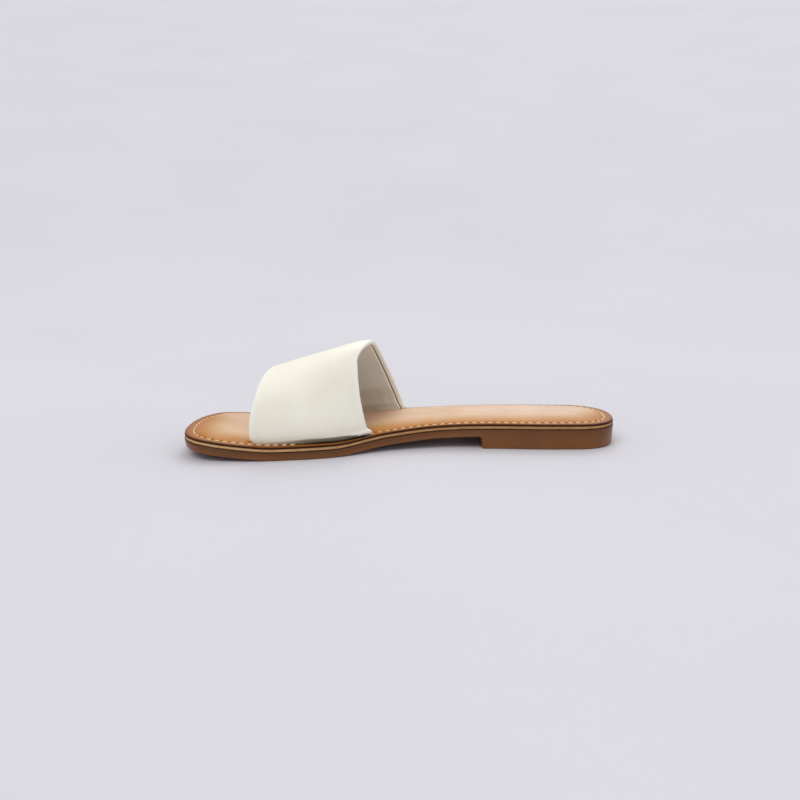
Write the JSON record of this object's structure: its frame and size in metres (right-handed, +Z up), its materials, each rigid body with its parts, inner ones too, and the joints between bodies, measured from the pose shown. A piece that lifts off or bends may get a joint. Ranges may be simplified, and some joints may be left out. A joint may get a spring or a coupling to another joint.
{
  "type": "open-toe mule",
  "caption": "Flat open-toe slip-on mule for a right foot: one wide leather band over a stitched leather insole, thin midsole and moulded outsole with a low heel.",
  "frame": {"origin": "on the floor, under the middle of the sole's length and width", "axes": "+X from toe to heel, -Y to the inner side of the foot, +Z up"},
  "size_m": [0.25, 0.0906, 0.0603],
  "materials": {
    "outsole": "satin moulded rubber",
    "midsole": "raw cut leather edge",
    "insole": "smooth tan leather, burnished edge",
    "upper": "smooth ivory leather",
    "lining": "matt lining leather",
    "thread": "waxed cream thread"
  },
  "bodies": {
    "root": {"outsole": "outsole", "midsole": "midsole", "insole": "insole", "upper": "upper"}
  },
  "joints": []
}
